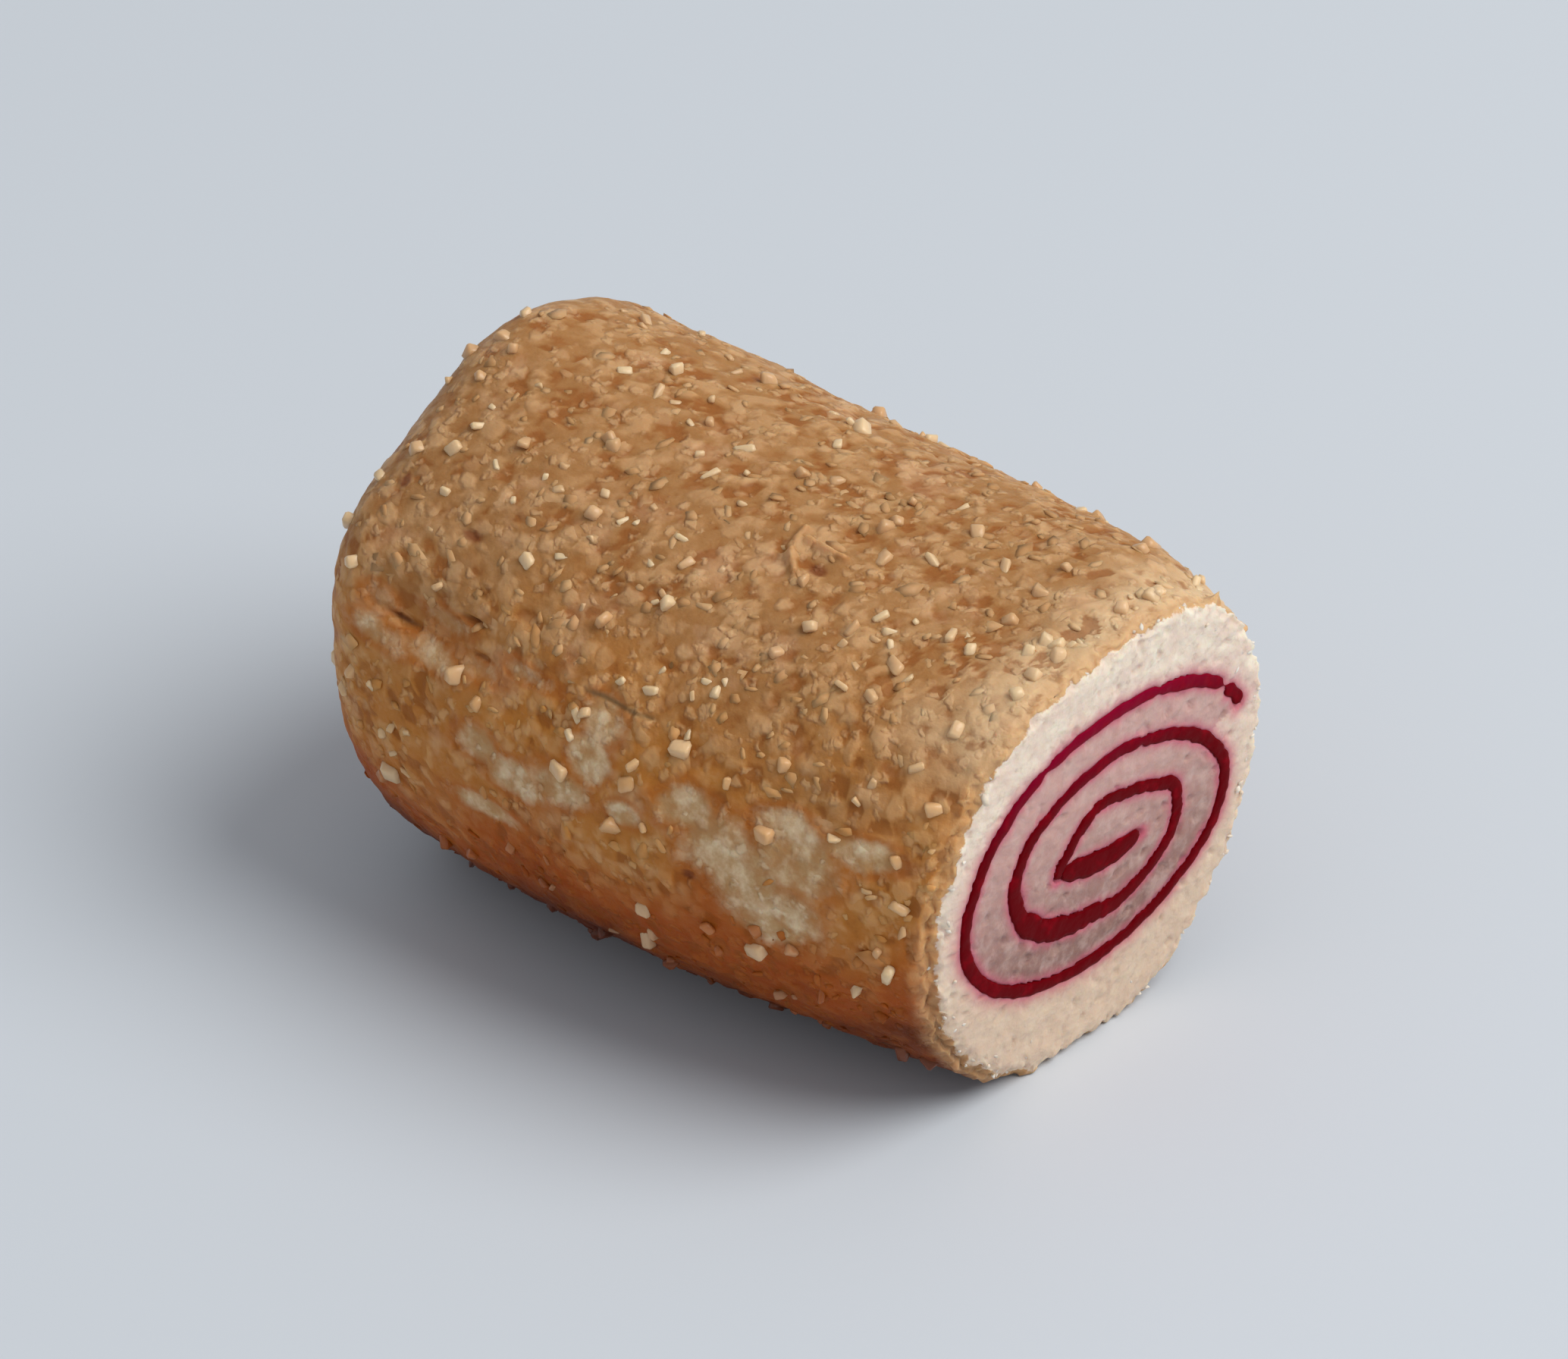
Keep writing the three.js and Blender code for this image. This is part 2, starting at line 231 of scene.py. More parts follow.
def on_roll(corner):
    """Where a corner of the divided box goes on the roll."""
    x, y, z = corner
    angle = square_angle(y, z)
    rim = max(abs(y), abs(z))
    if x > AT_END:
        return roll_point(angle, rim, 0)
    if x < -AT_END:
        return roll_point(angle, 1, 1 - END_ROUNDING * (1 - rounded(rim * CAP_REACH)) / ROLL_LENGTH)
    step = (1 - x) / 2
    return roll_point(angle, 1, CAP_SHARE * step * (ROW_EVENNESS + (1 - ROW_EVENNESS) * step))


body = divided_box(BODY_CUTS)
cut_edges = [edge for edge in body.edges if min(vert.co.x for vert in edge.verts) > AT_END]
bmesh.ops.subdivide_edges(body, edges=cut_edges, cuts=1, use_grid_fill=True)
for vert in body.verts:
    vert.co = on_roll(vert.co)
print("the bare roll has", len(body.verts), "points")

# %% [markdown]
# ## The line of the jam
#
# The jam winds inwards as a flattened spiral and ends in a thick bar, where the red sheet was
# folded over to start the roll. Its line comes before the relief of the cut, because the
# sponge dips under it and is stained pink beside it.

# %% The spiral and its heart, in millimetres on the cut
SPIRAL_MIDDLE = Vector((0.2, -0.39))
SPIRAL_RADIUS = Vector((4.72, 3.63))
SPIRAL_PITCH = Vector((1.345, 1.115))
SPIRAL_START = math.radians(30)
SPIRAL_END = 2.5 * TURN
OUTER_TUCK = {"depth": 0.375, "reach": 0.45}
BAND_HALF = 0.14
BAND_SWELL = {"angle": math.radians(590), "spread": math.radians(48), "extra": 0.12}
HEART_FROM = Vector((-1.13, -0.3))
HEART_TO = Vector((1.1, -0.6))
HEART_BOW = 0.17
HEART_HALF = 0.27
HEART_TAPER = 0.5
JAM_STOP = 1.4
BAND_BENDS = (  # off a true spiral: at so many degrees, by so many millimetres
    (30, -0.03), (60, 0), (90, 0.05), (122, 0.15), (142, 0.08), (160, -0.03), (200, 0),
    (300, -0.06), (330, 0.02), (362, 0), (385, -0.12), (405, -0.14), (425, -0.08), (450, 0.07),
    (480, 0.11), (500, 0.16), (520, 0.05), (545, -0.12), (570, -0.19), (620, -0.18), (640, 0),
    (690, 0), (720, -0.04), (742, 0.04), (765, -0.09), (790, -0.05), (822, 0.15), (842, 0.04),
    (865, -0.06), (900, 0.05),
)
BAND_NOTCHES = (  # where a crumb parts the band, or nearly does: the angle, how wide and how deep
    (44, 2.4, 0.97), (75, 1.6, 0.5), (117, 2.6, 0.55), (436, 2.0, 0.5))


def fade(value, start, end):
    """0 at start, 1 at end, and smooth between them."""
    share = min(max((value - start) / (end - start), 0), 1)
    return share * share * (3 - 2 * share)


def eased(table, degrees):
    """A value from a table of angles and values, eased from each one to the next."""
    for (before, value_before), (after, value_after) in zip(table, table[1:]):
        if degrees < after or after == table[-1][0]:
            return value_before + (value_after - value_before) * fade(degrees, before, after)


def waver(value, waves, row, size):
    """Noise along a line: so many waves to each 1 of the value, in its own row, and so big."""
    return size * noise.noise(Vector((waves * value, *row)))


def spiral_point(angle):
    """The middle of the band, measured on the section from its middle."""
    tuck = OUTER_TUCK["depth"] * math.exp(-(angle - SPIRAL_START) / OUTER_TUCK["reach"])
    bend = eased(BAND_BENDS, math.degrees(angle)) + waver(angle, 9, (0, 3), 0.03) - tuck
    reach = SPIRAL_RADIUS - SPIRAL_PITCH * angle / TURN + Vector((1, 1)) * bend
    return SPIRAL_MIDDLE + Vector((reach.x * math.cos(angle), reach.y * math.sin(angle)))


def spiral_half(angle):
    """Half the band's thickness, which a hand-rolled sheet never keeps even."""
    swell = bell((angle - BAND_SWELL["angle"]) / BAND_SWELL["spread"])
    half = BAND_HALF + BAND_SWELL["extra"] * swell
    for notch, spread, depth in BAND_NOTCHES:
        half *= 1 - depth * bell((angle - math.radians(notch)) / math.radians(spread))
    return half * (1 + waver(angle, 4, (5, 0), 0.2) + waver(angle, 15, (9, 0), 0.24))


def heart_point(share):
    bow = waver(share, 6, (2, 7), 0.03) - HEART_BOW * math.sin(math.pi * share)
    return HEART_FROM.lerp(HEART_TO, share) + Vector((0, bow))


def heart_half(share):
    taper = 1 - HEART_TAPER * (2 * share - 1) ** 4
    return HEART_HALF * taper * (1 + waver(share, 9, (4, 1), 0.15))


# %% Walk along both lines in even steps
JAM_STEP = 0.055
NUDGE_SHARE = 1e-4  # so short a part of a line is as good as straight


def even_walk(start, end, place, step):
    """Values from start to end whose places lie about one step apart."""
    values = [start]
    nudge = (end - start) * NUDGE_SHARE
    while values[-1] < end:
        speed = (place(values[-1] + nudge) - place(values[-1])).length / nudge
        values.append(min(values[-1] + step / speed, end))
    return values


spiral_walk = even_walk(SPIRAL_START, SPIRAL_END, spiral_point, JAM_STEP)
heart_walk = even_walk(0, 1, heart_point, JAM_STEP)
jam_line = [(spiral_point(value), spiral_half(value)) for value in spiral_walk]
jam_line += [(heart_point(value), heart_half(value)) for value in heart_walk]
jam_tree = kdtree.KDTree(len(jam_line))
for number, (place, _) in enumerate(jam_line):
    jam_tree.insert(place.to_3d(), number)
jam_tree.balance()
print("the jam's line is", round(JAM_STEP * len(jam_line), 1), "mm long")


def off_jam(y, z):
    """How far a point of the cut lies outside the band, or under 0 inside it."""
    _, number, distance = jam_tree.find((y, z - CUT_MIDDLE_Z, 0))
    return distance - jam_line[number][1]


# %% [markdown]
# ## Marks on the skin
#
# A few marks make this roll this one and no other: pale places where the browned skin wore
# thin, a crease with slits, a scratch, a curled ridge of clay and some burnt specks. Each is
# given by the distance behind the cut and the angle round the roll, so that it stays put when
# the form is changed.

# %% Marks: along and sizes in millimetres, angles in degrees
WORN_PLACES = marks(
    (7.9, 154, 0.6, 0.7), (8.0, 162.5, 0.65, 0.7), (8.7, 171, 1.0, 0.6), (9.8, 174.5, 1.1, 0.55),
    (10.8, 171.5, 0.8, 0.5), (10.6, 186, 1.2, 0.35), (7.1, 170, 0.5, 0.35),
    (5.7, 164, 0.9, 0.6), (4.9, 170, 1.0, 1.0), (4.2, 176, 1.2, 1.1), (3.6, 182, 1.1, 1.0),
    (3.2, 167, 1.1, 0.9), (3.6, 160.5, 0.8, 0.45), (1.9, 162, 1.0, 0.42))
CREASED_PLACES = marks(
    (13.7, 161, 1.1, 0.42), (12.4, 159.5, 1.3, 0.45), (11.2, 156.5, 1.1, 0.4),
    (9.9, 152.5, 1.1, 0.32), (12.2, 151.5, 1.0, 0.36), (13.9, 154.5, 0.6, 0.4))
CREASED_SHARE = 0.7  # how pale the crease is, against the places that are worn right through
WORN_EDGE = ((1.9, 0.25),)
SLITS = marks(
    (13.3, 156, 0.6, 0.13, 0.24), (11.6, 148.5, 0.42, 0.11, 0.2), (11.2, 154, 0.4, 0.09, 0.1))
SCRATCH = {"angle": 149.2, "ends": (6.7, 8.65), "half_width": 0.06, "depth": 0.04, "fade": 0.3}
SCRATCH_WAVER = ((1.7, 0.05),)
FOLDS = (  # the curled ridge, as three short straight folds from one place to another
    ((6.55, 99), (6.5, 104.5)), ((6.5, 104.5), (6.05, 109.5)), ((6.3, 101.5), (5.45, 101.5)))
CURL = {"along": 6, "reach": 1.2, "height": 0.14, "half_width": 0.1}
BURNT_SPECKS = marks(
    (5.7, 106.5, 0.26, 0.2, 0.07), (14.55, 132, 0.16, 0.24, 0.05), (12.45, 134, 0.3, 0.16, 0.05),
    (5.5, 178.5, 0.2, 0.13, 0.09))
print(len(WORN_PLACES), "worn places,", len(CREASED_PLACES), "creased ones,", len(SLITS), "slits,",
      len(BURNT_SPECKS), "specks")


def round_and_behind(place):
    """The angle of a point of the skin, its distance behind the cut, and the radius there."""
    half_width, half_height, middle_z = section_at(CUT_X - place.x)
    angle = math.atan2((place.z - middle_z) / half_height, place.y / half_width)
    return angle, CUT_X - place.x, half_width


def off_folds(angle, along, radius):
    """How far a point of the skin lies from the nearest fold."""
    def flat(distance, degrees):
        return Vector((distance, radius * angle_between(math.radians(degrees), angle)))
    here, nearest = Vector((along, 0)), math.inf
    for start, end in FOLDS:
        start, end = flat(*start), flat(*end)
        share = min(max((here - start).dot(end - start) / (end - start).length_squared, 0), 1)
        nearest = min(nearest, (start.lerp(end, share) - here).length)
    return nearest


# %% Divide the skin once more at the small marks
NEAR_SCRATCH = (0.2, 0.3)  # along and across it
NEAR_CURL = (0.8, 0.25)
NEAR_SLIT = 0.02  # closeness, which is 1 in the middle of the slit


def near_small_mark(place):
    angle, along, radius = round_and_behind(place)
    across = radius * abs(angle_between(angle, math.radians(SCRATCH["angle"])))
    start, end = SCRATCH["ends"]
    margin, side = NEAR_SCRATCH
    if across < side and start - margin < along < end + margin:
        return True
    margin, side = NEAR_CURL
    if abs(along - CURL["along"]) < margin and off_folds(angle, along, radius) < side:
        return True
    return any(closeness(mark, angle, along, radius) > NEAR_SLIT for mark in SLITS)


marked = [edge for edge in body.edges if all(near_small_mark(vert.co) for vert in edge.verts)]
bmesh.ops.subdivide_edges(body, edges=marked, cuts=2, use_grid_fill=True)
print(len(marked), "edges were divided again round the small marks")

# %% [markdown]
# ## Relief
#
# The skin is lumpy with melted sugar, the knife tore the rim, and the cut is a fine crumb. All
# of it shows from the side, so it is moved vertices and not a trick of the shading. What the
# finish has to know, such as how worn the browning is, stays on the points as attributes.

# %% Relief of the skin, in millimetres outwards
FLAKES = {"per_mm": 2.7, "rise": 0.09, "warp": 0.35, "warp_per_mm": 2, "contrast": 0.9, "edge": 0.22}
APART = 31.7  # spreads the flakes through the noise, so that neighbours differ
LUMPS = ((0.6, 0.06), (1.3, 0.035))  # noises, as in rough
GRIT = ((2.6, 0.03), (5.1, 0.018))
WORN_DEPTH = 0.025
SMOOTH_END = 0.5
SMOOTH_WORN = 0.6
END_REACH = (11, 16.5)
# The slits are painted dark by their depth: painted shade.
SLIT_PAINTED_SHADE = 3  # full at a third of a millimetre's depth


def rough(place, noises):
    """Noises added up: each has so many waves to a millimetre, and is so many millimetres high."""
    return sum(height * noise.noise(place * waves) for waves, height in noises)


def melted_flake(place):
    """How much of a flake in the melted sugar a point is, from 0 to 1."""
    warp = noise.noise_vector(place * FLAKES["warp_per_mm"]) * FLAKES["warp"]
    distances, middles = noise.voronoi(place * FLAKES["per_mm"] + warp)
    tone = 0.5 + FLAKES["contrast"] * noise.noise(middles[0] * APART)
    return 0.5 + (tone - 0.5) * fade(distances[1] - distances[0], 0, FLAKES["edge"])


def skin_relief(place, flake, angle, along, radius, worn):
    """How far the skin is pushed out at a place, and how much of each mark the place has."""
    melted_sugar = FLAKES["rise"] * (flake - 0.5)
    slits = [mark["depth"] * closeness(mark, angle, along, radius) ** 2 for mark in SLITS]
    specks = [closeness(mark, angle, along, radius) for mark in BURNT_SPECKS]
    pits = sum(slits) + sum(mark["depth"] * speck for mark, speck in zip(BURNT_SPECKS, specks))
    across = radius * angle_between(angle, math.radians(SCRATCH["angle"])) - rough(place, SCRATCH_WAVER)
    start, end = SCRATCH["ends"]
    inside = fade(along, start, start + SCRATCH["fade"]) * fade(along, end, end - SCRATCH["fade"])
    scratch = inside * bell(across / SCRATCH["half_width"])
    curl = 0
    if abs(along - CURL["along"]) < CURL["reach"]:
        curl = bell(off_folds(angle, along, radius) / CURL["half_width"])
    kept = (1 - SMOOTH_END * fade(along, *END_REACH)) * (1 - SMOOTH_WORN * worn)
    relief = rough(place, LUMPS) + kept * (rough(place, GRIT) + melted_sugar) - WORN_DEPTH * worn
    relief += CURL["height"] * curl - pits - SCRATCH["depth"] * scratch
    return relief, min(SLIT_PAINTED_SHADE * sum(slits), 1), max(specks), scratch, curl


# %% The rim of the cut
RIM_ROUNDING = 0.36
RIM_TEARS = ((2.2, 0.1), (5.5, 0.09))
RIM_TEAR_REACH = 0.3
TOO_FAINT = 0.01
TURNED_OVER = (  # how far the skin was dragged over the edge: at so many degrees, so many mm
    (-180, 0.1), (-120, 0.06), (-60, 0.0), (-20, -0.12), (25, -0.12), (50, 0.08), (90, 0.06), (100, 0.17),
    (110, 0.05), (120, 0.1), (130, 0.2), (140, 0.12), (150, 0.27), (160, 0.25), (170, 0.18), (180, 0.1),
)
SPIKE = {"angle": math.radians(48), "half_width": 0.15, "height": 0.34, "reach": 0.18}


def turned_over(angle):
    return eased(TURNED_OVER, math.degrees(angle_between(angle, 0)))


def rounded_off(distance):
    """How far rounding the edge moves a point in, and back along its own side."""
    lean = math.pi / 4 * max(1 - distance / RIM_ROUNDING, 0)
    return RIM_ROUNDING * (1 - math.cos(lean)), max(RIM_ROUNDING * (1 - math.sin(lean)) - distance, 0)


def rim_tear(place, from_rim):
    """How far the knife dragged a point near the edge of the cut."""
    pull = bell(from_rim / RIM_TEAR_REACH)
    tear = Vector((0, 0, 0))
    if pull > TOO_FAINT:
        for waves, far in RIM_TEARS:
            tear += noise.noise_vector(place * waves) * far
    return pull * tear


# %% Relief of the cut, and both applied
CUT_NORMAL = Vector((1, -CUT_SLOPE_ACROSS, -CUT_SLOPE_UP)).normalized()
JAM_GROOVE = 0.1
STAIN_REACH = {"inside": 0.17, "outside": 0.28}  # how far pink bleeds into the crumb
CRUMB = ((2.4, 0.03), (5.5, 0.02))
PORES = {"per_mm": 3.7, "depth": 0.05, "range": (0.35, 0.6), "away": Vector((7, 7, 7))}
ON_THE_CUT = 1e-3  # less behind the cut than this, a point lies on it
body.normal_update()
layers = {name: body.verts.layers.float.new(name)
          for name in ("worn", "flake", "bare", "stain", "inside", "burnt_and_slit_shade", "shade")}


def from_middle_of_cut(place):
    """A point's angle round the cut, and how far out it lies: 1 is the rim."""
    half_width, half_height, middle_z = section_at(0)
    y, z = place.y / half_width, (place.z - middle_z) / half_height
    angle = math.atan2(z, y)
    return angle, math.hypot(y, z) / radius_factor(0, angle)


def cut_relief(place, off_band):
    """The crumb's bumps and pores, and the groove that the jam lies in."""
    hollow = noise.noise(place * PORES["per_mm"] + PORES["away"])
    pores = PORES["depth"] * fade(hollow, *PORES["range"])
    groove = JAM_GROOVE * fade(-off_band, 0, 0.05)
    return (rough(place, CRUMB) - pores) * fade(off_band, -0.02, 0.12) - groove


def dress_cut(vert, place):
    off_band = off_jam(place.y, place.z)
    angle, reach = from_middle_of_cut(place)
    from_rim = min((1 - reach) * HALF_WIDTH["cut"], place.z)
    spread = Vector((place.y, place.z - CUT_MIDDLE_Z)) - SPIRAL_MIDDLE
    round_spiral = math.atan2(spread.y / SPIRAL_RADIUS.y, spread.x / SPIRAL_RADIUS.x)
    outer_turn = spiral_point(SPIRAL_START + (round_spiral - SPIRAL_START) % TURN) - SPIRAL_MIDDLE
    halo = STAIN_REACH["outside" if spread.length > outer_turn.length else "inside"]
    vert[layers["stain"]] = math.exp(-max(off_band, 0) / halo)
    vert[layers["inside"]] = fade(spread.length - outer_turn.length, 0.12, -0.18)
    vert[layers["bare"]] = 0.5 + from_rim - turned_over(angle)
    vert[layers["flake"]] = 0.5
    into, back = rounded_off(from_rim)
    to_middle = Vector((0, -place.y, CUT_MIDDLE_Z - place.z)).normalized()
    relief = cut_relief(place, off_band) * fade(from_rim, 0, 0.25) - into
    vert.co = place + CUT_NORMAL * relief + to_middle * back + rim_tear(place, from_rim)


def closest(places, angle, along, radius):
    return max(closeness(mark, angle, along, radius) for mark in places)


def dress_skin(vert, place, behind):
    angle, along, radius = round_and_behind(place)
    near = max(closest(WORN_PLACES, angle, along, radius),
               CREASED_SHARE * closest(CREASED_PLACES, angle, along, radius))
    worn = fade(near + rough(place, WORN_EDGE), 0.4, 0.7)
    flake = melted_flake(place)
    relief, slit_shade, speck, scratch, curl = skin_relief(place, flake, angle, along, radius, worn)
    spike = SPIKE["height"] * bell(radius * angle_between(angle, SPIKE["angle"]) / SPIKE["half_width"])
    vert[layers["worn"]] = near
    vert[layers["flake"]] = max(flake, curl)
    vert[layers["bare"]] = 0.5 - behind - turned_over(angle)
    vert[layers["burnt_and_slit_shade"]] = max(slit_shade, speck)
    vert[layers["shade"]] = scratch
    into, back = rounded_off(behind)
    relief *= fade(place.z, 0, 0.4) * fade(behind, 0, 0.4)
    relief += spike * bell(behind / SPIKE["reach"]) - into
    vert.co = place + vert.normal * relief - Vector((back, 0, 0)) + rim_tear(place, behind)


for vert in body.verts:
    place = vert.co.copy()
    behind = CUT_X - place.x - cut_distance(place.y, place.z)
    if behind < ON_THE_CUT:
        dress_cut(vert, place)
    else:
        dress_skin(vert, place, behind)
    vert.co.z = max(vert.co.z, 0)

cake_body = to_object("cake_body", body)

# %% [markdown]
# ## The jam
#
# The red sheet runs all through the roll, so each band is a strip of the divided box: its +X
# end shows at the cut, and its length is wound round the spiral. The knife left its face a
# shade proud of the crumb and softly domed.

# %% Wind a strip along a line
JAM_CUTS = (5, 5)  # deep and across
JAM_PROUD = 0.012
JAM_DOME = 0.016
JAM_UNEVEN = ((2.6, 0.014), (7, 0.008))
JAM_END_ROUNDING = 0.16
JAM_THINNEST = 0.004


def jam_strip(name, walk, place, half):
    """A strip whose middle follows place and whose thickness follows half, through the roll."""
    strip = divided_box((*JAM_CUTS, len(walk) - 2))
    last = len(walk) - 1
    nudge = (walk[-1] - walk[0]) * NUDGE_SHARE
    middles = [place(value) for value in walk]
    sides = []
    for value in walk:
        ahead = (place(value + nudge) - place(value - nudge)).normalized()
        sides.append(Vector((-ahead.y, ahead.x)))
    for vert in strip.verts:
        deep, across, along = (1 - vert.co.x) / 2, vert.co.y, (vert.co.z + 1) / 2
        index = round(along * last)
        to_end = min(index, last - index) * JAM_STEP
        round_end = math.sqrt(1 - (1 - min(to_end / JAM_END_ROUNDING, 1)) ** 2)
        half_here = max(half(walk[index]) * round_end, JAM_THINNEST)
        spot = middles[index] + sides[index] * across * half_here
        start = cut_distance(spot.x, CUT_MIDDLE_Z + spot.y)
        distance = start + (ROLL_LENGTH - JAM_STOP - start) * deep
        start_width, start_height, _ = section_at(start)
        half_width, half_height, middle_z = section_at(distance)
        vert.co = Vector((CUT_X - distance, spot.x * half_width / start_width,
                          middle_z + spot.y * half_height / start_height))
        if deep == 0:
            lift = JAM_PROUD + JAM_DOME * (1 - across ** 2) + rough(vert.co, JAM_UNEVEN)
            vert.co += CUT_NORMAL * lift
    return to_object(name, strip)


jam_band = jam_strip("jam_band", spiral_walk, spiral_point, spiral_half)
jam_heart = jam_strip("jam_heart", heart_walk, heart_point, heart_half)

# %% [markdown]
# ## Sugar
#
# Well over a thousand crystals lie on the skin, as meshes and not particles. Only real
# meshes leave Blender with the object, so these aren't particles. A few of each kind are
# modelled by operators, places are drawn on the skin so that no two lie in the same spot,
# and the copies are joined into one mesh. Each copy carries a tone of its own in an
# attribute.

# %% Two kinds of crystal: lumps that melted, and blocks that kept their shape


def as_arrays(shape):
    """A shape's points and triangles, which are quicker to copy than a bmesh."""
    bmesh.ops.triangulate(shape, faces=shape.faces)
    shape.verts.index_update()
    points = np.array([vert.co for vert in shape.verts])
    faces = np.array([[vert.index for vert in face.verts] for face in shape.faces])
    shape.free()
    return points, faces


def dent(shape, waves, away, depth):
    """Moves a shape's points by noise from a place of the shape's own."""
    for vert in shape.verts:
        vert.co += noise.noise_vector(vert.co * waves + away) * depth


def melted_lump(seed):
    """A small uneven lump, 1 across."""
    shape = bmesh.new()
    bmesh.ops.create_icosphere(shape, subdivisions=1, radius=0.5)
    dent(shape, 3, Vector((seed, 2 * seed, 0)), 0.24)
    return as_arrays(shape)


def worn_block(seed):
    """A block, 1 across, that leans and whose edges are worn."""
    shape = bmesh.new()
    bmesh.ops.create_cube(shape, size=1)
    dent(shape, 2, Vector((3 * seed, seed, 0)), 0.42)
    bmesh.ops.bevel(shape, geom=shape.edges, offset=0.16, segments=1, affect="EDGES",
                    profile=0.5, material=-1)
    return as_arrays(shape)


MELTED_LUMPS = [melted_lump(seed) for seed in range(8)]
WORN_BLOCKS = [worn_block(seed) for seed in range(6)]
print("a lump has", len(MELTED_LUMPS[0][1]), "triangles and a block", len(WORN_BLOCKS[0][1]))

# %% Draw places on the skin
CROWD_CELL = 0.42
PLACE_TRIES = 12
PLACE_JITTER = 0.03
chance = np.random.default_rng(20261124)
mesh = cake_body.data


def face_values(name, width):
    values = np.empty(width * len(mesh.polygons))
    mesh.polygons.foreach_get(name, values)
    return values.reshape(-1, width)


centres = face_values("center", 3) / MM
normals = face_values("normal", 3)
areas = face_values("area", 1)[:, 0]
first_corners = np.array([face.vertices[0] for face in mesh.polygons])


def at_faces(name):
    """An attribute of the roll's points, read at one corner of every face."""
    values = np.empty(len(mesh.vertices))
    mesh.attributes[name].data.foreach_get("value", values)
    return values[first_corners]


behind_cut = CUT_X - centres[:, 0] - cut_distance(centres[:, 1], centres[:, 2])


def soft_step(values, start, end):
    share = np.clip((values - start) / (end - start), 0, 1)
    return share * share * (3 - 2 * share)


def draw_places(weights, sizes, spacing, taken):
    """A place on the skin for each size, no nearer to another than spacing times their sizes."""
    wanted = areas * weights
    cell = spacing * CROWD_CELL
    crowd = {}
    for spot, size in taken:
        crowd.setdefault(tuple(np.floor(spot / cell).astype(int)), []).append((spot, size))
    places = []
    tries = iter(chance.choice(len(wanted), size=PLACE_TRIES * len(sizes), p=wanted / wanted.sum()))
    for size in sizes:
        for index in tries:
            spot = centres[index] + chance.uniform(-PLACE_JITTER, PLACE_JITTER, 3)
            key = tuple(np.floor(spot / cell).astype(int))
            near = [other for dx in (-1, 0, 1) for dy in (-1, 0, 1) for dz in (-1, 0, 1)
                    for other in crowd.get((key[0] + dx, key[1] + dy, key[2] + dz), ())]
            if all(np.linalg.norm(spot - other) > spacing * 0.5 * (size + other_size)
                   for other, other_size in near):
                crowd.setdefault(key, []).append((spot, size))
                places.append((spot, normals[index], size))
                break
    return places


# %% The largest grains, where the solid has them


def seeded(state):
    """Numbers from 0 to 1, by the rule that the solid's grains follow too."""
    def draw():
        nonlocal state
        state = (state * 1664525 + 1013904223) % 2 ** 32
        return state / 2 ** 32
    return draw


GRAIN_COUNT = 160
GRAIN_LARGEST = 0.38
GRAIN_SMALLEST = 0.22
GRAIN_SINK = 0.08
GRAIN_KEEP_OFF = {"cut": 0.55, "ground": 0.7, "end": 1.2}
GRAIN_TRIES = 2
GRAIN_GATHER = 1.3


def next_grain_place(draw, grains):
    """Of a few drawn places on the skin, the one farthest from the grains so far."""
    best, best_room, tries = None, -1, 0
    while tries < GRAIN_TRIES or best is None:
        tries += 1
        angle = draw() * TURN
        behind = GRAIN_KEEP_OFF["cut"] + draw() ** GRAIN_GATHER * (ROLL_LENGTH - GRAIN_KEEP_OFF["end"])
        share = behind / ROLL_LENGTH
        place = roll_point(angle, 1, share)
        room = min(((place - grain[0]).length for grain in grains), default=math.inf)
        if share < 1 and place.z > GRAIN_KEEP_OFF["ground"] and room > best_room:
            best, best_room = (place, roll_point(angle, 0, share)), room
    return best


def large_grains():
    """Each grain's place, the way outwards, its sides, how it is turned and its size."""
    draw = seeded(20261124)
    grains = []
    while len(grains) < GRAIN_COUNT:
        place, middle = next_grain_place(draw, grains)
        size = GRAIN_LARGEST + (GRAIN_SMALLEST - GRAIN_LARGEST) * len(grains) / GRAIN_COUNT
        sides = Vector((0.85 + 0.4 * draw(), 0.7 + 0.3 * draw(), 0.6 + 0.3 * draw())) * size
        turn = Euler((draw() * TURN, draw() * TURN, draw() * TURN))
        grains.append((place, (place - middle).normalized(), sides, turn, size))
    return grains


skin_tree = BVHTree.FromObject(cake_body, bpy.context.evaluated_depsgraph_get())
LARGE_GRAINS = []
for place, outward, sides, turn, size in large_grains():
    on_skin = skin_tree.find_nearest(place * MM)[0] / MM
    LARGE_GRAINS.append((np.array(on_skin - outward * GRAIN_SINK * size), np.array(sides),
                         np.array(turn.to_matrix()), size))
print(len(LARGE_GRAINS), "large grains; the first lies at", LARGE_GRAINS[0][0].round(2))

# %% Join the copies
OFF_GROUND = 0.002


def joined_crystals(name, kinds, crystals, tones=None):
    """One mesh of all the crystals. Tones that aren't given are drawn evenly."""
    if tones is None:
        tones = chance.uniform(0, 1, len(crystals))
    points, faces, counts = [], [], []
    for number, (middle, sides, turn, _) in enumerate(crystals):
        shape_points, shape_faces = kinds[number % len(kinds)]
        placed = (shape_points * sides) @ turn.T + middle
        placed[:, 2] = np.maximum(placed[:, 2], OFF_GROUND)
        points.append(placed)
        faces.append(shape_faces + sum(counts))
        counts.append(len(placed))
    mesh = bpy.data.meshes.new(name)
    mesh.from_pydata((np.concatenate(points) * MM).tolist(), [], np.concatenate(faces).tolist())
    mesh.polygons.foreach_set("use_smooth", [True] * len(mesh.polygons))
    attribute = mesh.attributes.new("tone", "FLOAT", "POINT")
    attribute.data.foreach_set("value", np.repeat(tones, counts).astype(np.float32))
    print(name, "has", len(crystals), "crystals and", len(mesh.polygons), "triangles")
    return in_scene(name, mesh)


